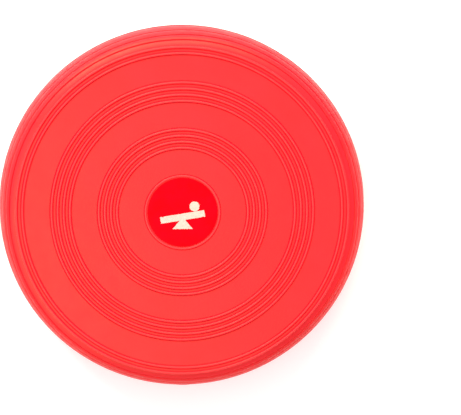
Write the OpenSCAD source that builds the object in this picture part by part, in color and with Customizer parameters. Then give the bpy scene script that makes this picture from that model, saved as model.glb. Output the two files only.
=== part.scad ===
// Inflatable balance pad: a round air cushion of soft PVC, lying flat with its
// ringed face up and its nubbed face down.
// Origin: centre of the underside, at the tips of the nubs. +Z is up, and the
// needle valve is in the side wall towards -Y. Millimetres.

/* [Cushion] */
// Diameter over the seam bead
pad_d = 330; // [310:1:350]
// Height from the nub tips to the crests of the ribs
pad_h = 60; // [52:1:66]
// Thickness of the moulded skin
wall = 3.4; // [3:0.1:4]
// Width of the rounded shoulder, measured along the radius
shoulder_w = 17.5; // [16:0.5:20]
// How far the seam bead stands proud of the side wall
bead_proud = 0.5; // [0.3:0.1:1]
// Height of the seam bead
bead_h = 2; // [2:0.1:2.4]

/* [Grip ribs] */
// Radius of a rib's rounded section
rib_section_r = 1.5; // [1.2:0.1:1.8]
// Height of a rib's crest over the face
rib_h = 1.35; // [0.8:0.05:1.5]
// Distance from one rib to the next in a band
rib_pitch = 5.45; // [4.5:0.05:6]
// Number of ribs in the inner band and in the middle band
band_ribs = 4; // [2:1:5]
// Number of ribs in the outer band, next to the shoulder
outer_ribs = 2; // [1:1:3]
// Radius of the innermost rib of the inner band
inner_band_r = 58.5; // [50:0.1:65]
// Radius of the innermost rib of the middle band
middle_band_r = 100.6; // [95:0.1:105]
// Distance from the outermost rib to the start of the shoulder
outer_rib_past = 1.4; // [1:0.1:2.5]

/* [Shoulder grooves] */
// Turn of the shoulder's curve, from the face, at each groove, in degrees
groove_turns = [26, 42, 60];
// Radius of a groove's rounded section
groove_section_r = 1; // [0.8:0.1:1.2]
// Depth of a groove in the skin
groove_depth = 0.7; // [0.4:0.1:0.9]

/* [Label] */
// Diameter of the round centre label
label_d = 62.8; // [50:0.2:62.8]
// Thickness of the label
label_t = 0.4; // [0.2:0.1:0.6]
// Thickness of the pale print on the label
print_t = 0.12; // [0.1:0.02:0.2]
// Length of the printed beam
beam_l = 40; // [30:1:46]
// Width of the printed beam
beam_w = 6; // [4:0.5:7]
// Slope of the printed beam, in degrees
beam_slope = 9; // [0:1:15]
// Height of the printed triangle, from its foot to the middle of the beam
fulcrum_h = 11; // [9:0.5:14]
// Width of the printed triangle at its foot
fulcrum_w = 18; // [12:1:22]
// Distance from the label's centre down to the foot of the printed triangle
sign_drop = 15; // [12:1:18]
// Diameter of the printed ball on the beam
ball_d = 9; // [6:0.5:10]
// Radius of the thin raised ring around the label
label_ring_r = 33; // [32.8:0.1:36]
// Radius of that ring's rounded section
label_ring_section_r = 1.15; // [0.9:0.05:1.3]

/* [Underside nubs] */
// Height of a nub
nub_h = 2.6; // [1.5:0.1:3.5]
// Radius of a nub at the skin
nub_base_r = 3.6; // [3:0.1:4.5]
// Radius of a nub's flat tip
nub_tip_r = 2.2; // [1.5:0.1:2.6]
// Number of rings of nubs
nub_rings = 7; // [3:1:7]
// Radius of the innermost ring of nubs
nub_ring_start = 20; // [19:0.5:22]
// Number of nubs in the innermost ring, which each further ring adds
nubs_per_ring = 6; // [4:1:7]

/* [Needle valve] */
// Radius of the thick neck moulded into the side wall
boss_r = 8; // [7:0.5:9]
// Length of the neck
boss_l = 19; // [15:0.5:22]
// Radius of the rubber boot in the neck
boot_r = 5; // [4:0.25:6]
// Radius of the soft core in the boot
core_r = 2.6; // [2:0.1:3]
// Radius of the needle duct in the core
duct_r = 0.95; // [0.7:0.05:1]
// Depth of the needle duct
duct_l = 13; // [8:0.5:14]
// Gap around the neck, where the two halves of the skin flex
neck_gap = 0.3; // [0.2:0.05:0.5]

/* [Hidden] */

$fn = 96;
curve_steps = 20;                                  // straight lengths in a shoulder's curve
pad_r = pad_d / 2;
shell_r = pad_r - bead_proud;
flat_r = shell_r - shoulder_w;                     // where the flat of a face ends
face_z = pad_h - rib_h;                            // plane of the upper face, between the ribs
base_z = nub_h;                                    // plane of the lower face, between the nubs
seam_z = (face_z + base_z) / 2;
shell_h = (face_z - base_z - bead_h) / 2;          // height of one half of the skin
outer_band_r = flat_r + outer_rib_past - (outer_ribs - 1) * rib_pitch;
rib_radii = concat(
    [for (i = [0:band_ribs - 1]) inner_band_r + i * rib_pitch],
    [for (i = [0:band_ribs - 1]) middle_band_r + i * rib_pitch],
    [for (i = [0:outer_ribs - 1]) outer_band_r + i * rib_pitch]);
nub_ring_step = (flat_r - nub_base_r - 1 - nub_ring_start) / (nub_rings - 1);
valve_mouth = 0.7;                                 // how far the neck's mouth lies inside the wall
boot_mouth = 0.4;                                  // how far the boot lies inside the neck's mouth
boot_l = boss_l - 3;
core_l = boot_l - 1;
eps = 0.01;

skin_red = "#f4423f";
label_red = "#e2061c";
print_cream = "#f8e2d3";
valve_black = "#1c1c1e";

// Points on a quarter of an ellipse, from the flat of the face out to the side wall
function quarter(reach, rise) =
    [for (i = [0:curve_steps]) [flat_r + reach * sin(90 * i / curve_steps),
                                rise * cos(90 * i / curve_steps)]];

// Point on the shoulder at a turn of the curve, moved outwards along the normal
function shoulder_point(turn, out) =
    let (a = shoulder_w, b = shell_h,
         n = [b * sin(turn), a * cos(turn)] / norm([b * sin(turn), a * cos(turn)]))
    [flat_r + a * sin(turn), b * cos(turn)] + out * n;

// Section of one half of the skin, with its edge at y = 0 and its face at y = shell_h
module shell_section() {
    outer = quarter(shoulder_w, shell_h);
    inner = quarter(shoulder_w - wall, shell_h - wall);
    polygon(concat([[0, shell_h]], outer,
                   [for (i = [curve_steps:-1:0]) inner[i]], [[0, shell_h - wall]]));
}

module groove_sections() {
    for (turn = groove_turns)
        translate(shoulder_point(turn, groove_section_r - groove_depth))
            circle(r = groove_section_r, $fn = 32);
}

// A raised ring of round section, whose section's centre lies at (r, z)
module ring(r, z, section_r) {
    rotate_extrude($fn = 180) translate([r, z]) circle(r = section_r, $fn = 32);
}

// One half of the skin, with its face up and its edge at z = 0
module half_skin() {
    rotate_extrude($fn = 180) difference() {
        shell_section();
        groove_sections();
    }
}

// Round space for the neck, through the side wall and the seam
module neck_space() {
    translate([0, -(pad_r + 1), seam_z]) rotate([-90, 0, 0])
        cylinder(r = boss_r + neck_gap, h = boss_l + 2);
}

// A cylinder on the valve's axis that starts a given depth inside the side wall
module valve_rod(r, depth, length) {
    translate([0, -(shell_r - depth), seam_z]) rotate([-90, 0, 0]) cylinder(r = r, h = length);
}

// Upper half of the skin: flat face with its ribs, grooved shoulder and side wall
module upper_shell() color(skin_red) {
    difference() {
        union() {
            translate([0, 0, face_z - shell_h]) half_skin();
            for (r = rib_radii) ring(r, face_z + rib_h - rib_section_r, rib_section_r);
            ring(label_ring_r, face_z, label_ring_section_r);
        }
        neck_space();
    }
}

// One nub of the underside, sunk a little into the skin that it is moulded with
module nub() {
    sink = 0.4;
    cylinder(r1 = nub_tip_r, r2 = nub_base_r + sink * (nub_base_r - nub_tip_r) / nub_h,
             h = nub_h + sink, $fn = 24);
}

// Lower half of the skin: flat face with rings of nubs, grooved shoulder and side wall
module lower_shell() color(skin_red) {
    difference() {
        union() {
            translate([0, 0, base_z + shell_h]) mirror([0, 0, 1]) half_skin();
            for (ring = [0:nub_rings - 1]) {
                r = nub_ring_start + ring * nub_ring_step;
                count = nubs_per_ring * (ring + 1);
                for (i = [0:count - 1]) rotate([0, 0, 360 * i / count]) translate([r, 0, 0]) nub();
            }
            nub();
        }
        neck_space();
    }
}

// Bead along the seam between the two halves of the skin
module seam_bead() color(skin_red) {
    difference() {
        translate([0, 0, seam_z - bead_h / 2]) cylinder(r = pad_r, h = bead_h, $fn = 180);
        translate([0, 0, seam_z - bead_h]) cylinder(r = shell_r - wall, h = 2 * bead_h, $fn = 180);
        neck_space();
    }
}

// Round label in the middle of the upper face
module centre_label() color(label_red) {
    translate([0, 0, face_z]) cylinder(d = label_d, h = label_t, $fn = 120);
}

// Generic sign printed on the label: a ball on a beam that balances on a triangle
module label_print() color(print_cream) {
    translate([0, -sign_drop, face_z + label_t]) linear_extrude(print_t) union() {
        polygon([[-fulcrum_w / 2, 0], [fulcrum_w / 2, 0], [0, fulcrum_h]]);
        translate([0, fulcrum_h]) rotate(beam_slope) {
            square([beam_l, beam_w], center = true);
            translate([beam_l * 0.3, (beam_w + ball_d) / 2 - eps]) circle(d = ball_d);
        }
    }
}

// Thick neck in the side wall that grips the valve
module valve_neck() color(skin_red) {
    difference() {
        valve_rod(boss_r, valve_mouth, boss_l);
        valve_rod(boot_r, valve_mouth - 1, boss_l + 2);
    }
}

// Rubber boot of the needle valve
module valve_boot() color(valve_black) {
    difference() {
        valve_rod(boot_r, valve_mouth + boot_mouth, boot_l);
        valve_rod(core_r, valve_mouth + boot_mouth - 1, boot_l + 2);
    }
}

// Soft core with the blind duct that the pump's needle is pushed into
module valve_core() color(valve_black) {
    difference() {
        valve_rod(core_r, valve_mouth + boot_mouth, core_l);
        valve_rod(duct_r, valve_mouth + boot_mouth - 1, duct_l + 1);
    }
}

lower_shell();
upper_shell();
seam_bead();
centre_label();
label_print();
valve_neck();
valve_boot();
valve_core();
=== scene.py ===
import math

import bpy
import numpy as np
from mathutils import Matrix, Vector, noise
from mathutils.geometry import tessellate_polygon


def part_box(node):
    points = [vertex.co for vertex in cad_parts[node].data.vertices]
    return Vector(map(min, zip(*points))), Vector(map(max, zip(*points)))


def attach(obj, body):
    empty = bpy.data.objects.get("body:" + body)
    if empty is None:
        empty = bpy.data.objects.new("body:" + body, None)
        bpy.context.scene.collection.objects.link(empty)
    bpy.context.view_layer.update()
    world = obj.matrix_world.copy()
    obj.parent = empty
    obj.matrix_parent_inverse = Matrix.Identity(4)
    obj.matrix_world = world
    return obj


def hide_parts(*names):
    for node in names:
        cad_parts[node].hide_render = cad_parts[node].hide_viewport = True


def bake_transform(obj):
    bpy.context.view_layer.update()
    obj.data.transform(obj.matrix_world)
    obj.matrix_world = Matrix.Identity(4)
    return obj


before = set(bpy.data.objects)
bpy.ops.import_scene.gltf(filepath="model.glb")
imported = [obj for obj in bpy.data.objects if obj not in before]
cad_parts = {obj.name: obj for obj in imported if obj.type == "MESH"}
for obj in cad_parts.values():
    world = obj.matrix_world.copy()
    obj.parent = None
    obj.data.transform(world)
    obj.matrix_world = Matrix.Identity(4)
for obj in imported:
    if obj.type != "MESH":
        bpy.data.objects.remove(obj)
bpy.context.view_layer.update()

MM = 0.001

# ------------------------------------------------------------------ places, from the frame
seam_lo, seam_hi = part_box("seam_bead")
label_lo, label_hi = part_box("centre_label")
print_lo, print_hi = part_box("label_print")
neck_lo, neck_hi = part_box("valve_neck")
boot_lo, boot_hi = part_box("valve_boot")
core_lo, core_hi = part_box("valve_core")

PAD_R = seam_hi.x
SEAM_Z = (seam_lo.z + seam_hi.z) / 2
FACE_Z = label_lo.z
BASE_Z = 2 * SEAM_Z - FACE_Z
LABEL_R = label_hi.x
LABEL_T = label_hi.z - label_lo.z
PRINT_T = print_hi.z - print_lo.z

# ------------------------------------------------------------------ the skin, in metres
WALL = 3.4 * MM
BEAD_PROUD = 0.5 * MM
BEAD_H = seam_hi.z - seam_lo.z
SHELL_R = PAD_R - BEAD_PROUD
SHOULDER_W = 17.5 * MM
FLAT_R = SHELL_R - SHOULDER_W             # where the flat of a face ends
SHELL_H = (FACE_Z - BASE_Z - BEAD_H) / 2  # height of one half of the skin
CROWN = 0.7 * MM                          # rise of the inflated face's middle
WANDER = 0.1 * MM                         # slow unevenness of the moulded skin, made of waves
WANDER_WAVES = 6
WANDER_SHORTEST = 50 * MM
WANDER_LONGEST = 110 * MM
WANDER_SEED = 7
FREE_H = 0.5 * SHELL_H                    # height over its edge at which the skin is uneven in full

RIB_W = 2.5 * MM
RIB_H = 1.35 * MM
RIB_POWER = 2.2                           # 2 would make a rib's section half an ellipse
RIB_PITCH = 5.45 * MM
CREASE_PLACE = 1.5 * MM                   # from a rib's middle to the crease along its foot
CREASE_W = 0.8 * MM
CREASE_DEPTH = 0.36 * MM
BAND_RIBS = 4
INNER_BAND_R = 58.5 * MM
MIDDLE_BAND_R = 100.6 * MM
OUTER_RIBS = 2
OUTER_RIB_PAST = 1.4 * MM                 # the outermost rib lies this far past the flat
OUTER_BAND_R = FLAT_R + OUTER_RIB_PAST - (OUTER_RIBS - 1) * RIB_PITCH
LABEL_RING_R = 33.0 * MM
LABEL_RING_W = 2.3 * MM
LABEL_RING_H = 0.95 * MM
LABEL_CREASE_R = LABEL_RING_R + 1.3 * MM  # crease along the outer foot of that ring
GROOVE_TURNS = (26, 42, 60)               # turn of the shoulder's curve at each groove, in degrees
GROOVE_W = 1.5 * MM
GROOVE_DEPTH = 1.15 * MM
GROOVE_POWER = 0.8                        # below 1 widens a groove's floor
LAND_H = 0.3 * MM                         # swell of the shoulder past each groove

NUB_RINGS = 7
NUBS_PER_RING = 6
NUB_RING_START = 20 * MM
NUB_BASE_R = 3.6 * MM
NUB_MARGIN = 1.0 * MM                     # from the outermost nubs to the end of the flat
NUB_FILLET_W = 1.0 * MM
NUB_FILLET_H = 0.45 * MM
NUB_SINK = 0.8 * MM                       # how far a nub goes on inside the skin
NUB_POWER = 0.8                           # below 1 makes a nub's dome fuller

SEGMENTS = 240                            # steps round the pad
NUB_SEGMENTS = 20                         # steps round a nub
FLAT_STEP = 3 * MM                        # steps along the plain part of a face's section
SHOULDER_STEP = 1.2 * MM                  # steps along the plain part of a shoulder's section
FEATURE_POINTS = 11                       # points across a rib or a groove
CREASE_POINTS = (-0.25, -0.1, 0, 0.12, 0.25, 0.38, 0.5)  # across a crease, as shares of its width
GUARD = 0.15 * MM                         # from a feature's edge to the next step
ON_AXIS = 1e-9                            # a smaller radius than this is a point on the axis


# ------------------------------------------------------------------ meshes
def make_object(name, verts, faces, sharp_deg=50):
    """A new object from vertices and faces, smooth apart from edges sharper than sharp_deg."""
    mesh = bpy.data.meshes.new(name)
    mesh.from_pydata([tuple(v) for v in verts], [], faces)
    mesh.update()
    mesh.shade_smooth()
    mesh.set_sharp_from_angle(angle=math.radians(sharp_deg))
    obj = bpy.data.objects.new(name, mesh)
    bpy.context.scene.collection.objects.link(obj)
    return obj


def revolved(section, segments):
    """Vertices and faces of a closed section of (r, z) points turned round the Z axis."""
    section = np.array(section, float)
    r, z = section.T
    area = np.sum(r * np.roll(z, -1) - np.roll(r, -1) * z) / 2
    if area < 0:
        section = section[::-1]
    angle = 2 * math.pi * np.arange(segments) / segments
    verts, rows = [], []
    for radius, height in section:
        start = len(verts)
        if radius < ON_AXIS:
            verts.append((0, 0, height))
            rows.append([start] * segments)
        else:
            verts.extend(zip(radius * np.cos(angle), radius * np.sin(angle), [height] * segments))
            rows.append(list(range(start, start + segments)))
    faces = []
    for row, above in zip(rows, rows[1:] + rows[:1]):
        for j in range(segments):
            k = (j + 1) % segments
            corners = list(dict.fromkeys((row[j], row[k], above[k], above[j])))
            if len(corners) > 2:
                faces.append(corners)
    return np.array(verts, float), faces


def joined(parts):
    """One set of vertices and faces from several."""
    verts, faces, start = [], [], 0
    for part_verts, part_faces in parts:
        verts.append(part_verts)
        faces.extend([[start + i for i in face] for face in part_faces])
        start += len(part_verts)
    return np.concatenate(verts), faces


def smoothstep(value):
    """Smooth step from 0 to 1 as a value goes from 0 to 1."""
    value = np.clip(value, 0, 1)
    return value * value * (3 - 2 * value)


# ------------------------------------------------------------------ section of the skin
ARC_POINTS = 721                          # enough to measure distances along the shoulder
TURNS = np.radians(np.linspace(0, 90, ARC_POINTS))
ARC_R = FLAT_R + SHOULDER_W * np.sin(TURNS)
ARC_Z = SHELL_H * np.cos(TURNS)
ARC_S = FLAT_R + np.concatenate(([0], np.cumsum(np.hypot(np.diff(ARC_R), np.diff(ARC_Z)))))
EDGE_S = ARC_S[-1]


def on_skin(s):
    """Points (r, z) and outward normals of the plain section at distances s from the axis along it."""
    turn = np.interp(s, ARC_S, TURNS)
    flat = s < FLAT_R
    r = np.where(flat, s, FLAT_R + SHOULDER_W * np.sin(turn))
    z = SHELL_H * np.cos(turn)
    normal = np.stack([SHELL_H * np.sin(turn), SHOULDER_W * np.cos(turn)], 1)
    return np.stack([r, z], 1), normal / np.linalg.norm(normal, axis=1)[:, None]


def band(start, count):
    """Radii of the ribs in a band."""
    return [start + i * RIB_PITCH for i in range(count)]


RIB_PLACES = (band(INNER_BAND_R, BAND_RIBS) + band(MIDDLE_BAND_R, BAND_RIBS)
              + band(OUTER_BAND_R, OUTER_RIBS))
GROOVE_PLACES = [float(np.interp(math.radians(turn), TURNS, ARC_S)) for turn in GROOVE_TURNS]


def rib(s, place, width, height):
    """Height of a rib at distances s: steep sides and a gently rounded top."""
    across = np.clip(np.abs(s - place) / (width / 2), 0, 1)
    return height * np.sqrt(1 - across ** RIB_POWER)


def crease(s, place):
    """Height of a sharp crease, below zero, at distances s."""
    across = np.clip((s - place) / (CREASE_W / 2), -1, 1)
    return -CREASE_DEPTH * (0.5 + 0.5 * np.cos(math.pi * across))


def creases(s, place):
    """Height of the creases at both feet of a rib. The outermost rib has none at its outer foot."""
    inside = crease(s, place - CREASE_PLACE)
    return inside if place > FLAT_R else inside + crease(s, place + CREASE_PLACE)


def groove(s, place):
    """Height of a shoulder groove, below zero, at distances s."""
    across = np.clip(np.abs(s - place) / (GROOVE_W / 2), 0, 1)
    return -GROOVE_DEPTH * (0.5 + 0.5 * np.cos(math.pi * across)) ** GROOVE_POWER


def land(s, start, end):
    """Height of the slight swell that the shoulder has from start to end, at distances s."""
    along = np.clip((s - start) / (end - start), 0, 1)
    return LAND_H * np.sin(math.pi * along) ** 2


def spread(width):
    """Points across a feature, closer at its edges, with one more just past each edge."""
    past = np.array([width / 2 + GUARD])
    across = np.sin(np.linspace(-1, 1, FEATURE_POINTS) * math.pi / 2) * width / 2
    return np.concatenate([-past, across, past])


def rib_spread(width, crease_place, both_sides):
    """Points across a rib and the creases at both feet, or only the one at its outer foot."""
    outside = crease_place + CREASE_W * np.array(CREASE_POINTS)
    outside = np.append(outside, crease_place + CREASE_W / 2 + GUARD)
    inside = -outside if both_sides else [-width / 2 - GUARD]
    return np.concatenate([spread(width)[1:-1], outside, inside])


def stations(features):
    """Distances at which the section is sampled: close together across a feature, wider between."""
    plain = np.concatenate([np.arange(0, FLAT_R, FLAT_STEP), np.arange(FLAT_R, EDGE_S, SHOULDER_STEP)])
    clear = np.ones(len(plain), bool)
    for place, points in features:
        clear &= np.abs(plain - place) > points.max() + GUARD
    across = [place + points for place, points in features]
    return np.unique(np.concatenate([plain[clear], [EDGE_S]] + across))


def skin_section(ribs):
    """Closed section of one half of the skin, with its edge at z = 0."""
    features = [(place, spread(GROOVE_W)) for place in GROOVE_PLACES]
    if ribs:
        features += [(place, rib_spread(RIB_W, CREASE_PLACE, True)) for place in RIB_PLACES]
        ring_points = rib_spread(LABEL_RING_W, LABEL_CREASE_R - LABEL_RING_R, False)
        features.append((LABEL_RING_R, ring_points))
    s = stations(features)
    lift = sum(groove(s, place) for place in GROOVE_PLACES)
    lift += sum(land(s, a, b) for a, b in zip(GROOVE_PLACES, GROOVE_PLACES[1:]))
    lift += land(s, GROOVE_PLACES[-1], EDGE_S)
    if ribs:
        lift += sum(rib(s, place, RIB_W, RIB_H) + creases(s, place) for place in RIB_PLACES)
        lift += rib(s, LABEL_RING_R, LABEL_RING_W, LABEL_RING_H) + crease(s, LABEL_CREASE_R)
    points, normals = on_skin(s)
    outer = points + normals * lift[:, None]
    flat_points, shoulder_points = 12, 16
    inner_s = np.concatenate([np.linspace(0, FLAT_R, flat_points),
                              np.linspace(FLAT_R, EDGE_S, shoulder_points)[1:]])
    points, normals = on_skin(inner_s)
    inner = points - normals * WALL
    inner[-1, 1] = 0
    return np.concatenate([outer, inner[::-1]])


def crown(radius):
    """Rise of the inflated face over its flat plane, level across the label and gone at the shoulder."""
    return CROWN * (1 - smoothstep((radius - LABEL_RING_R) / (FLAT_R - LABEL_RING_R)))


def wander(verts):
    """Slow unevenness over the skin, as a height for each vertex."""
    rng = np.random.default_rng(WANDER_SEED)
    height = np.zeros(len(verts))
    for _ in range(WANDER_WAVES):
        direction = rng.normal(size=3)
        length = rng.uniform(WANDER_SHORTEST, WANDER_LONGEST)
        direction *= 2 * math.pi / length / np.linalg.norm(direction)
        height += np.sin(verts @ direction + rng.uniform(0, 2 * math.pi))
    return height / WANDER_WAVES * WANDER


def unevenness(verts, with_crown):
    """Moves the skin's vertices up by the crown and the wander, less and less towards its edge."""
    radius = np.hypot(verts[:, 0], verts[:, 1])
    free = smoothstep(verts[:, 2] / FREE_H)
    rise = wander(verts) * free
    if with_crown:
        rise += crown(radius) * free
    verts[:, 2] += rise
    return verts


# ------------------------------------------------------------------ the pieces of the skin
def upper_skin():
    """Upper half of the skin, with the ribs, the shoulder grooves and its part of the side wall."""
    verts, faces = revolved(skin_section(ribs=True), SEGMENTS)
    verts = unevenness(verts, with_crown=True)
    verts[:, 2] += FACE_Z - SHELL_H
    return make_object("upper_skin", verts, faces)


def mark_crests(obj):
    """Stores at each vertex its share of a rib's height, by which the material pales the crests as a painted
    highlight.
    """
    places = np.array([vertex.co for vertex in obj.data.vertices])
    radius = np.hypot(places[:, 0], places[:, 1])
    share = sum(rib(radius, place, RIB_W, 1) for place in RIB_PLACES)
    share += rib(radius, LABEL_RING_R, LABEL_RING_W, 1)
    obj.data.attributes.new("crest", "FLOAT", "POINT").data.foreach_set("value", share)


def nub():
    """One rounded nub that points down from z = 0, closed inside the skin."""
    rise = np.linspace(0, 1, 6)
    fillet_r = NUB_BASE_R + NUB_FILLET_W * (1 - np.sin(rise * math.pi / 2))
    fillet_z = NUB_FILLET_H * (1 - np.cos(rise * math.pi / 2))
    dome = np.linspace(0, math.pi / 2, 8)[1:]
    dome_r = NUB_BASE_R * np.cos(dome) ** NUB_POWER
    dome_z = NUB_FILLET_H + (BASE_Z - NUB_FILLET_H) * np.sin(dome)
    section = [(0, NUB_SINK), (fillet_r[0], NUB_SINK)]
    section += list(zip(fillet_r, -fillet_z)) + list(zip(dome_r, -dome_z))
    section[-1] = (0, -BASE_Z)
    return revolved(section, NUB_SEGMENTS)


def lower_skin():
    """Lower half of the skin, with the rings of nubs under it."""
    verts, faces = revolved(skin_section(ribs=False), SEGMENTS)
    verts = unevenness(verts, with_crown=False)
    verts[:, 2] = BASE_Z + SHELL_H - verts[:, 2]
    parts = [(verts, [face[::-1] for face in faces])]
    nub_verts, nub_faces = nub()
    step = (FLAT_R - NUB_BASE_R - NUB_MARGIN - NUB_RING_START) / (NUB_RINGS - 1)
    places = [(0, 0)]
    for ring in range(NUB_RINGS):
        radius, count = NUB_RING_START + ring * step, NUBS_PER_RING * (ring + 1)
        angles = [2 * math.pi * i / count for i in range(count)]
        places += [(radius * math.cos(angle), radius * math.sin(angle)) for angle in angles]
    parts += [(nub_verts + (x, y, BASE_Z), nub_faces) for x, y in places]
    return make_object("lower_skin", *joined(parts))


def seam():
    """Moulded bead round the side, with the slight unevenness of a trimmed parting line."""
    sharpness = 1.5
    ragged_depth, ragged_offset = 0.06 * MM, 0.05 * MM
    outer = [(SHELL_R + BEAD_PROUD * (0.5 + 0.5 * math.cos(math.pi * x)) ** sharpness, x * BEAD_H / 2)
             for x in np.linspace(-1, 1, 13)]
    inner = [(SHELL_R - WALL, BEAD_H / 2), (SHELL_R - WALL, -BEAD_H / 2)]
    verts, faces = revolved(outer + inner, 2 * SEGMENTS)
    angle = np.arctan2(verts[:, 1], verts[:, 0])
    radius = np.hypot(verts[:, 0], verts[:, 1])
    proud = np.clip((radius - SHELL_R) / BEAD_PROUD, 0, 1)
    waves = (np.sin(9 * angle + 1) + np.sin(23 * angle) + np.sin(61 * angle + 2)) / 3
    ragged = ragged_depth * waves - ragged_offset
    verts[:, :2] *= ((radius + proud * ragged) / radius)[:, None]
    verts[:, 2] += SEAM_Z
    return make_object("seam_line", verts, faces)


# ------------------------------------------------------------------ the label
def label():
    """Round label with a rounded edge."""
    rounding = 0.25 * MM
    section = [(0, 0), (LABEL_R, 0)]
    section += [(LABEL_R - rounding * (1 - math.cos(a)), LABEL_T - rounding * (1 - math.sin(a)))
                for a in np.linspace(0, math.pi / 2, 6)]
    section += [(LABEL_R * share, LABEL_T) for share in (0.85, 0.6, 0.3, 0)]
    verts, faces = revolved(section, segments=192)
    verts[:, 2] += FACE_Z + CROWN
    return make_object("label_disc", verts, faces)


WORN_STEP = 0.35 * MM                     # from one point of a worn outline to the next
ROUGH_SIZE = 0.9 * MM                     # size and depth of the roughness of a worn outline
ROUGH_DEPTH = 0.22 * MM
NICK_SIZE = 3.2 * MM                      # size and depth of the nicks in a worn outline
NICK_DEPTH = 1.5 * MM
NICK_LEVEL = 0.28                         # noise above this level makes a nick
NICK_SEED = 40                            # keeps the noise of the nicks apart from the roughness


def worn(outline, seed):
    """A closed outline with its edges nicked and roughened, as a worn stencil print."""
    points = []
    for (ax, ay), (bx, by) in zip(outline, outline[1:] + outline[:1]):
        steps = max(1, round(math.dist((ax, ay), (bx, by)) / WORN_STEP))
        points += [(ax + (bx - ax) * i / steps, ay + (by - ay) * i / steps) for i in range(steps)]
    count, out = len(points), []
    for i, (x, y) in enumerate(points):
        ahead, behind = points[(i + 1) % count], points[i - 1]
        tangent = Vector((ahead[0] - behind[0], ahead[1] - behind[1])).normalized()
        fine = noise.noise(Vector((x / ROUGH_SIZE, y / ROUGH_SIZE, seed)))
        coarse = noise.noise(Vector((x / NICK_SIZE, y / NICK_SIZE, seed + NICK_SEED)))
        inward = ROUGH_DEPTH * fine + NICK_DEPTH * max(0, coarse - NICK_LEVEL)
        out.append((x - tangent.y * inward, y + tangent.x * inward))
    return out


def flat_sign(outlines, thickness):
    """Thin closed plates with the given outlines, which run anticlockwise."""
    parts = []
    for outline in outlines:
        count = len(outline)
        verts = [(x, y, 0) for x, y in outline] + [(x, y, thickness) for x, y in outline]
        top = [[count + i for i in corners]
               for corners in tessellate_polygon([[Vector((x, y, 0)) for x, y in outline]])]
        first = [Vector(verts[i]) for i in top[0]]
        if (first[1] - first[0]).cross(first[2] - first[0]).z < 0:
            top = [corners[::-1] for corners in top]
        bottom = [[i - count for i in corners[::-1]] for corners in top]
        sides = [[i, (i + 1) % count, count + (i + 1) % count, count + i] for i in range(count)]
        parts.append((np.array(verts, float), top + bottom + sides))
    return joined(parts)


BEAM_L = 40 * MM
BEAM_W = 6 * MM
BEAM_SLOPE = math.radians(9)
FULCRUM_H = 11 * MM
FULCRUM_W = 18 * MM
BALL_D = 9 * MM
BALL_PLACE = 0.3                          # share of the beam's length, from its middle
BALL_GAP = 0.2 * MM
BALL_POINTS = 48


def sign():
    """Generic sign: a ball on a beam that balances on a triangle."""
    foot_y = print_lo.y
    turn = Matrix.Rotation(BEAM_SLOPE, 2)
    top = Vector((0, foot_y + FULCRUM_H))

    def tilted(x, y):
        return tuple(top + turn @ Vector((x, y)))

    def under_beam(foot):
        """Where the triangle's side from a corner of its foot meets the beam's lower edge."""
        drop = (top - foot) @ (turn @ Vector((0, 1)))
        return tuple(top + (foot - top) * (BEAM_W / 2 / drop))

    left, right = Vector((-FULCRUM_W / 2, foot_y)), Vector((FULCRUM_W / 2, foot_y))
    corners = ((1, -1), (1, 1), (-1, 1), (-1, -1))
    beam = [tilted(x * BEAM_L / 2, y * BEAM_W / 2) for x, y in corners]
    stand = [tuple(left), tuple(right), under_beam(right)] + beam + [under_beam(left)]
    ball_r = BALL_D / 2
    ball_y = BEAM_W / 2 + BALL_GAP + ball_r
    ball = [tilted(BALL_PLACE * BEAM_L + ball_r * math.cos(a), ball_y + ball_r * math.sin(a))
            for a in np.linspace(0, 2 * math.pi, BALL_POINTS + 1)[:-1]]
    verts, faces = flat_sign([worn(stand, 2), worn(ball, 3)], PRINT_T)
    verts[:, 2] += label_hi.z + CROWN
    return make_object("sign_print", verts, faces)


# ------------------------------------------------------------------ the valve
VALVE_Z = (neck_lo.z + neck_hi.z) / 2
NECK_R = neck_hi.x
NECK_IN = neck_hi.y + SHELL_R             # how far the neck goes in from the side wall
HOLE_R = 7.4 * MM                         # hole in the skin, under the collar
HOLE_IN = 8 * MM                          # how far the cutter of that hole goes in and stands out
HOLE_OUT = 4 * MM
COLLAR_R = 10.2 * MM
COLLAR_PROUD = 0.6 * MM
COLLAR_SINK = 0.2 * MM                    # the collar's rim lies this far inside the side wall
COLLAR_BACK = 1.2 * MM                    # and its back this far
LIP_W = 1.6 * MM                          # from the boot to the collar's lip round it
LIP_R = 0.5 * MM                          # rounding under that lip
BOOT_R = boot_hi.x
BOOT_L = boot_hi.y - boot_lo.y
BOOT_MOUTH = -0.7 * MM                    # below 0 is inside the side wall
BOOT_ROUNDING = 0.4 * MM
CORE_R = core_hi.x
CORE_L = core_hi.y - core_lo.y
CORE_MOUTH = -0.9 * MM
DUCT_R = 0.95 * MM
DUCT_L = 13 * MM
DUCT_END = 0.3 * MM                       # depth of the duct's pointed end


def to_side_wall(verts):
    """Turns a piece made round +Z to the valve's axis, so that its z = 0 lies at the side wall."""
    x, up, out = verts.T
    return np.stack([x, -SHELL_R - out, up + VALVE_Z], 1)


def wall_drop(x, z):
    """How far the side wall falls back from its outermost line, at a place near the valve."""
    height = np.clip(np.abs(z - VALVE_Z) - BEAD_H / 2, 0, SHELL_H)
    radius = FLAT_R + SHOULDER_W * np.sqrt(1 - (height / SHELL_H) ** 2)
    return SHELL_R - np.sqrt(np.maximum(radius ** 2 - x ** 2, 0))


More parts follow.
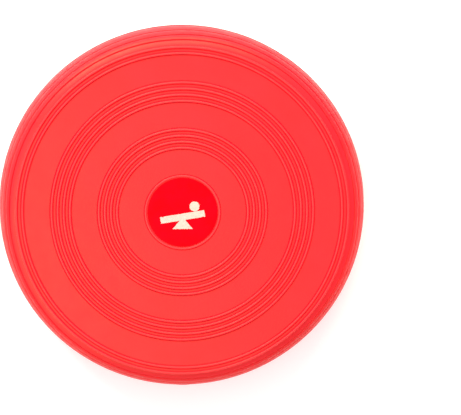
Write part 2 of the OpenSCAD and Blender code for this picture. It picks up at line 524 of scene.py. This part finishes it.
def valve_neck():
    """Collar round the valve, which follows the side wall, and the thick tube behind it."""
    waist_r = NECK_R - 1 * MM
    rim_w, rim_power = 1.4 * MM, 0.7
    follow_start, follow_w, follow_depth = 0.5 * MM, 1.5 * MM, 2 * MM
    section = [(BOOT_R, -NECK_IN), (NECK_R, -NECK_IN), (NECK_R, -WALL), (waist_r, -WALL + 0.5 * MM),
               (waist_r, -COLLAR_BACK), (COLLAR_R, -COLLAR_BACK), (COLLAR_R, -COLLAR_SINK)]
    rounding = np.linspace(0, math.pi / 2, 7)
    section += [(COLLAR_R - rim_w * math.sin(a),
                 -COLLAR_SINK + (COLLAR_PROUD + COLLAR_SINK) * (1 - math.cos(a)) ** rim_power)
                for a in rounding[1:]]
    section += [(BOOT_R + LIP_W + LIP_R * math.cos(a), COLLAR_PROUD - LIP_R * (1 - math.sin(a)))
                for a in rounding[::-1]]
    section += [(BOOT_R + 1.0 * MM, -0.5 * MM), (BOOT_R + 0.4 * MM, -0.7 * MM), (BOOT_R, -0.9 * MM)]
    verts, faces = revolved(section, segments=96)
    radius = np.hypot(verts[:, 0], verts[:, 1])
    follow = smoothstep((radius - BOOT_R - follow_start) / follow_w) * (verts[:, 2] > -follow_depth)
    verts = to_side_wall(verts)
    verts[:, 1] += follow * wall_drop(verts[:, 0], verts[:, 2])
    return make_object("valve_collar", verts, faces, sharp_deg=40)


def valve_boot():
    """Rubber boot, chamfered at its inner end, with a rounded mouth and a shallow groove round it."""
    mouth, end = BOOT_MOUTH, -BOOT_L
    section = [(CORE_R, end), (BOOT_R - 0.6 * MM, end), (BOOT_R, end + 0.8 * MM),
               (BOOT_R, mouth - BOOT_ROUNDING)]
    section += [(BOOT_R - BOOT_ROUNDING * (1 - math.cos(a)), mouth - BOOT_ROUNDING * (1 - math.sin(a)))
                for a in np.linspace(0, math.pi / 2, 6)]
    section += [(BOOT_R - 1.1 * MM, mouth - 0.05 * MM), (BOOT_R - 1.3 * MM, mouth - 0.35 * MM),
                (BOOT_R - 1.7 * MM, mouth - 0.35 * MM), (BOOT_R - 1.9 * MM, mouth - 0.1 * MM),
                (CORE_R, mouth - 0.2 * MM)]
    verts, faces = revolved(section, segments=72)
    return make_object("valve_boot_rubber", to_side_wall(verts), faces, sharp_deg=40)


def valve_core():
    """Soft core, with a funnel that leads into the needle duct."""
    mouth, end = CORE_MOUTH, -CORE_L
    section = [(0, end), (CORE_R - 0.3 * MM, end), (CORE_R, end + 0.4 * MM), (CORE_R, mouth)]
    section += [(CORE_R - 0.4 * MM, mouth + 0.08 * MM), (DUCT_R + 0.75 * MM, mouth - 0.05 * MM),
                (DUCT_R + 0.3 * MM, mouth - 0.35 * MM), (DUCT_R, mouth - 0.9 * MM),
                (DUCT_R, mouth - DUCT_L), (0, mouth - DUCT_L - DUCT_END)]
    verts, faces = revolved(section, segments=48)
    return make_object("valve_core_rubber", to_side_wall(verts), faces, sharp_deg=40)


def cut_valve_hole(obj):
    """Cuts the round hole for the valve's neck through a piece of the skin."""
    section = [(0, -HOLE_IN), (HOLE_R, -HOLE_IN), (HOLE_R, HOLE_OUT), (0, HOLE_OUT)]
    verts, faces = revolved(section, segments=64)
    cutter = make_object("hole_cutter", to_side_wall(verts), faces)
    cut = obj.modifiers.new("hole", "BOOLEAN")
    cut.operation, cut.solver, cut.object = "DIFFERENCE", "EXACT", cutter
    graph = bpy.context.evaluated_depsgraph_get()
    mesh = bpy.data.meshes.new_from_object(obj.evaluated_get(graph))
    obj.modifiers.clear()
    obj.data = mesh
    bpy.data.objects.remove(cutter)


# ------------------------------------------------------------------ materials
NOISE_SPAN = (0.3, 0.7)                   # most of a noise lies between these values
FADE = (0, 1)                             # share of the second colour in a mix


class Nodes:
    """Short calls for the nodes of one material."""

    def __init__(self, name):
        self.material = bpy.data.materials.new(name)
        self.material.use_nodes = True
        self.tree = self.material.node_tree
        self.shader = self.tree.nodes["Principled BSDF"]
        self.place = self.tree.nodes.new("ShaderNodeTexCoord").outputs["Object"]

    def add(self, kind, inputs=None, **settings):
        """A new node with values or links for its inputs."""
        node = self.tree.nodes.new(kind)
        for key, value in settings.items():
            setattr(node, key, value)
        for key, value in (inputs or {}).items():
            self.feed(node.inputs[key], value)
        return node

    def feed(self, socket, value):
        """Links a socket to another one, or gives it a value."""
        if isinstance(value, bpy.types.NodeSocket):
            self.tree.links.new(value, socket)
        else:
            socket.default_value = value

    def noise(self, size, detail=3, roughness=0.5):
        """Noise between 0 and 1 whose features are about size metres across."""
        node = self.add("ShaderNodeTexNoise", {"Vector": self.place, "Scale": 1 / size, "Detail": detail,
                                               "Roughness": roughness})
        return node.outputs["Fac"]

    def cells(self, size):
        """Distance to the middle of the nearest of many rounded cells, about size metres across."""
        node = self.add("ShaderNodeTexVoronoi", {"Vector": self.place, "Scale": 1 / size, "Smoothness": 0.6},
                        feature="SMOOTH_F1")
        return node.outputs["Distance"]

    def scaled(self, value, span, to):
        """A value that goes between the two ends of to as the given one goes between those of span."""
        node = self.add("ShaderNodeMapRange", {"Value": value, "From Min": span[0], "From Max": span[1],
                                               "To Min": to[0], "To Max": to[1]})
        return node.outputs["Result"]

    def mixed(self, share, first, second):
        """Colour between two others. The node's colour sockets share their names, so they go by number."""
        node = self.add("ShaderNodeMix", data_type="RGBA")
        for place, value in ((0, share), (6, first), (7, second)):
            self.feed(node.inputs[place], value)
        return node.outputs[2]

    def bump(self, height, distance, strength, below=None):
        """Normal roughened by a height, on top of the one below it."""
        inputs = {"Height": height, "Distance": distance, "Strength": strength}
        if below is not None:
            inputs["Normal"] = below
        return self.add("ShaderNodeBump", inputs).outputs["Normal"]

    def shade(self, **values):
        """Sets the material's shader, whose inputs are named with underscores for spaces."""
        for key, value in values.items():
            self.feed(self.shader.inputs[key.replace("_", " ")], value)


def red_pvc():
    """Soft red PVC: a faint mottle, a fine satin grain, an uneven gloss and paler crests that are a painted
    highlight.
    """
    n = Nodes("red_pvc")
    red, light_red = (0.88, 0.001, 0.021, 1), (0.91, 0.003, 0.025, 1)
    # The second colour on the next line is the paler red painted on the rib crests as a highlight.
    speck_red, crest_highlight_red = (0.80, 0.001, 0.014, 1), (0.92, 0.018, 0.04, 1)
    warm_gloss = (1, 0.8, 0.38, 1)
    colour = n.mixed(n.scaled(n.noise(34 * MM, detail=2), NOISE_SPAN, FADE), red, light_red)
    specks = n.scaled(n.noise(0.8 * MM, detail=2), span=(0.62, 0.75), to=(0, 0.25))
    colour = n.mixed(specks, colour, speck_red)
    # Painted highlight: the rib crests pale towards a lighter red by each point's share of a rib's height,
    # with a slow noise in how much.
    crest = n.add("ShaderNodeAttribute", attribute_name="crest").outputs["Fac"]
    most_crest_highlight = n.scaled(n.noise(6 * MM), NOISE_SPAN, to=(0.75, 1))
    crest_highlight = n.scaled(crest, span=(0.55, 0.95), to=(0, most_crest_highlight))
    colour = n.mixed(crest_highlight, colour, crest_highlight_red)
    grain = n.bump(n.cells(1.1 * MM), distance=0.08 * MM, strength=0.6)
    grain = n.bump(n.noise(0.45 * MM), distance=0.04 * MM, strength=0.6, below=grain)
    gloss = n.scaled(n.noise(9 * MM, detail=4), NOISE_SPAN, to=(0.42, 0.52))
    n.shade(Base_Color=colour, Roughness=gloss, Normal=grain, Specular_IOR_Level=0.45,
            Specular_Tint=warm_gloss)
    return n.material


def label_ink():
    """Saturated red print over the skin, with little shine and a fine screen texture."""
    n = Nodes("label_ink")
    thick_ink, thin_ink = (0.74, 0.0, 0.004, 1), (0.80, 0.0, 0.008, 1)
    n.shade(Base_Color=n.mixed(n.scaled(n.noise(11 * MM), NOISE_SPAN, FADE), thick_ink, thin_ink),
            Roughness=n.scaled(n.noise(2 * MM), NOISE_SPAN, to=(0.45, 0.6)),
            Specular_IOR_Level=0.02,
            Normal=n.bump(n.noise(0.5 * MM), distance=0.02 * MM, strength=0.5))
    return n.material


def cream_ink():
    """Cream stencil print, worn through to the red in small specks."""
    n = Nodes("cream_ink")
    cream_light, cream_dark = (0.72, 0.57, 0.49, 1), (0.64, 0.47, 0.40, 1)
    fleck_brown, ink_below = (0.40, 0.30, 0.26, 1), (0.74, 0.004, 0.008, 1)
    clouds = n.noise(2.6 * MM, detail=4, roughness=0.7)
    colour = n.mixed(n.scaled(clouds, span=(0.35, 0.65), to=FADE), cream_light, cream_dark)
    flecks = n.noise(1.1 * MM, detail=4, roughness=0.65)
    colour = n.mixed(n.scaled(flecks, span=(0.63, 0.68), to=(0, 0.75)), colour, fleck_brown)
    wear = n.noise(3.1 * MM, detail=6, roughness=0.75)
    colour = n.mixed(n.scaled(wear, span=(0.66, 0.69), to=FADE), colour, ink_below)
    n.shade(Base_Color=colour, Roughness=n.scaled(n.noise(1.5 * MM), NOISE_SPAN, to=(0.6, 0.8)),
            Specular_IOR_Level=0.2,
            Normal=n.bump(n.noise(0.6 * MM, detail=4), distance=0.03 * MM, strength=0.6))
    return n.material


def black_rubber():
    """Moulded black rubber with a dusty bloom."""
    n = Nodes("black_rubber")
    black, dusty = (0.010, 0.010, 0.011, 1), (0.035, 0.033, 0.032, 1)
    bloom = n.noise(1.6 * MM, detail=5, roughness=0.6)
    n.shade(Base_Color=n.mixed(n.scaled(bloom, span=(0.4, 0.75), to=FADE), black, dusty),
            Roughness=n.scaled(n.noise(0.9 * MM), NOISE_SPAN, to=(0.45, 0.65)),
            Normal=n.bump(n.noise(0.3 * MM), distance=0.02 * MM, strength=0.6))
    return n.material


def white_floor():
    """A white sheet that is clear from below, so that the underside can be looked at."""
    n = Nodes("white_floor")
    off_white, white = (0.90, 0.90, 0.90, 1), (0.92, 0.92, 0.92, 1)
    n.shade(Base_Color=n.mixed(n.noise(600 * MM, detail=2), off_white, white), Roughness=0.5,
            Specular_IOR_Level=0.3, Emission_Color=(1, 1, 1, 1), Emission_Strength=0.25)
    below = n.add("ShaderNodeNewGeometry").outputs["Backfacing"]
    clear = n.add("ShaderNodeBsdfTransparent").outputs["BSDF"]
    sides = n.add("ShaderNodeMixShader", {"Fac": below})
    n.feed(sides.inputs[1], n.shader.outputs["BSDF"])
    n.feed(sides.inputs[2], clear)
    n.feed(n.tree.nodes["Material Output"].inputs["Surface"], sides.outputs["Shader"])
    return n.material


# ------------------------------------------------------------------ assembly
skin = red_pvc()
ink = label_ink()
cream = cream_ink()
rubber = black_rubber()


def finish_piece(obj, material, node):
    """Gives a piece its material and slot, and puts it in its CAD node's place."""
    obj.data.materials.clear()
    obj.data.materials.append(material)
    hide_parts(node)
    return obj


lower = finish_piece(lower_skin(), skin, "lower_shell")
upper = finish_piece(upper_skin(), skin, "upper_shell")
bead = finish_piece(seam(), skin, "seam_bead")
for part in (lower, upper, bead):
    cut_valve_hole(part)
mark_crests(upper)

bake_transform(lower)
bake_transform(upper)
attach(bead, "rim")
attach(finish_piece(valve_neck(), skin, "valve_neck"), "rim")
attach(finish_piece(valve_boot(), rubber, "valve_boot"), "rim")
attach(finish_piece(valve_core(), rubber, "valve_core"), "rim")
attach(finish_piece(label(), ink, "centre_label"), "face")
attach(finish_piece(sign(), cream, "label_print"), "face")


# ------------------------------------------------------------------ floor, light and camera
FLOOR_HALF = 4.0
FLOOR_DROP = 0.2 * MM

WORLD_DIM = (0.50, 0.51, 0.53, 1)
WORLD_BRIGHT = (1.0, 0.98, 0.95, 1)
WORLD_STRENGTH = 1.15
WORLD_BRIGHT_SIDE = (-0.25, 0.70, 0.65)   # direction in which the studio is brightest
WORLD_RAMP = (0.15, 0.95)                 # where the dim colour ends and the bright one starts

WARM_LIGHT = (1.0, 0.95, 0.85)
AMBER_LIGHT = (1.0, 0.88, 0.62)

CAMERA_DISTANCE = 2.10
CAMERA_LENS_MM = 183.44
CAMERA_SENSOR_MM = 36
CAMERA_UP = math.radians(10.6)            # turn off square, towards the +Y edge
CAMERA_LEFT = math.radians(2.0)           # turn off square, towards -X
AIM_RIGHT = 42.82 * MM                    # how far right of the face's middle the camera aims
AIM_UP = 4.264 * MM                       # and how far up


def make_floor():
    """White floor just under the nubs, centred on the pad."""
    corners = [(x * FLOOR_HALF, y * FLOOR_HALF, 0) for x, y in ((-1, -1), (1, -1), (1, 1), (-1, 1))]
    floor = make_object("floor", corners, [[0, 1, 2, 3]])
    floor.location.z = -FLOOR_DROP
    floor.data.materials.append(white_floor())


def soft_light(name, place, size, power, colour):
    """A round soft light, aimed at the middle of the pad, that the camera doesn't see."""
    data = bpy.data.lights.new(name, "AREA")
    data.shape, data.size, data.energy, data.color = "DISK", size, power, colour
    lamp = bpy.data.objects.new(name, data)
    lamp.location = place
    lamp.rotation_mode = "QUATERNION"
    aim = Vector((0, 0, SEAM_Z)) - Vector(place)
    lamp.rotation_quaternion = aim.to_track_quat("-Z", "Y")
    lamp.visible_camera = False
    bpy.context.scene.collection.objects.link(lamp)
    return lamp


def make_world():
    """A studio that is bright and a little warm on one side, and dim and cool on the other."""
    world = bpy.data.worlds.new("studio")
    world.use_nodes = True
    tree = world.node_tree
    coord = tree.nodes.new("ShaderNodeTexCoord")
    along = tree.nodes.new("ShaderNodeVectorMath")
    along.operation = "DOT_PRODUCT"
    along.inputs[1].default_value = Vector(WORLD_BRIGHT_SIDE).normalized()
    tree.links.new(coord.outputs["Generated"], along.inputs[0])
    ramp = tree.nodes.new("ShaderNodeValToRGB")
    shift = tree.nodes.new("ShaderNodeMapRange")
    shift.inputs["From Min"].default_value = -1
    tree.links.new(along.outputs["Value"], shift.inputs["Value"])
    tree.links.new(shift.outputs["Result"], ramp.inputs["Fac"])
    for stop, place, colour in zip(ramp.color_ramp.elements, WORLD_RAMP, (WORLD_DIM, WORLD_BRIGHT)):
        stop.position, stop.color = place, colour
    tree.links.new(ramp.outputs["Color"], tree.nodes["Background"].inputs["Color"])
    tree.nodes["Background"].inputs["Strength"].default_value = WORLD_STRENGTH
    bpy.context.scene.world = world


def make_camera():
    """Looks nearly square on at the ringed face, with +Y up in the image."""
    data = bpy.data.cameras.new("camera")
    data.sensor_width = CAMERA_SENSOR_MM
    data.lens = CAMERA_LENS_MM
    camera = bpy.data.objects.new("camera", data)
    right = Vector((math.cos(CAMERA_LEFT), 0, math.sin(CAMERA_LEFT)))
    back = Vector((-math.sin(CAMERA_LEFT) * math.cos(CAMERA_UP), math.sin(CAMERA_UP),
                   math.cos(CAMERA_LEFT) * math.cos(CAMERA_UP)))
    up = back.cross(right)
    middle = Vector((0, 0, FACE_Z))
    camera.location = middle + back * CAMERA_DISTANCE + right * AIM_RIGHT + up * AIM_UP
    camera.rotation_mode = "QUATERNION"
    camera.rotation_quaternion = Matrix((right, up, back)).transposed().to_quaternion()
    bpy.context.scene.collection.objects.link(camera)
    bpy.context.scene.camera = camera


make_floor()
make_world()
soft_light("key", (-0.8, 1.4, 1.0), size=0.9, power=34, colour=WARM_LIGHT)
soft_light("top", (0.3, 1.5, 0.9), size=0.9, power=20, colour=AMBER_LIGHT)
sheen = soft_light("sheen", (-1.15, -0.9, 2.3), size=1.7, power=60, colour=WARM_LIGHT)
sheen.visible_diffuse = False
make_camera()
bpy.context.scene.view_settings.view_transform = "Standard"
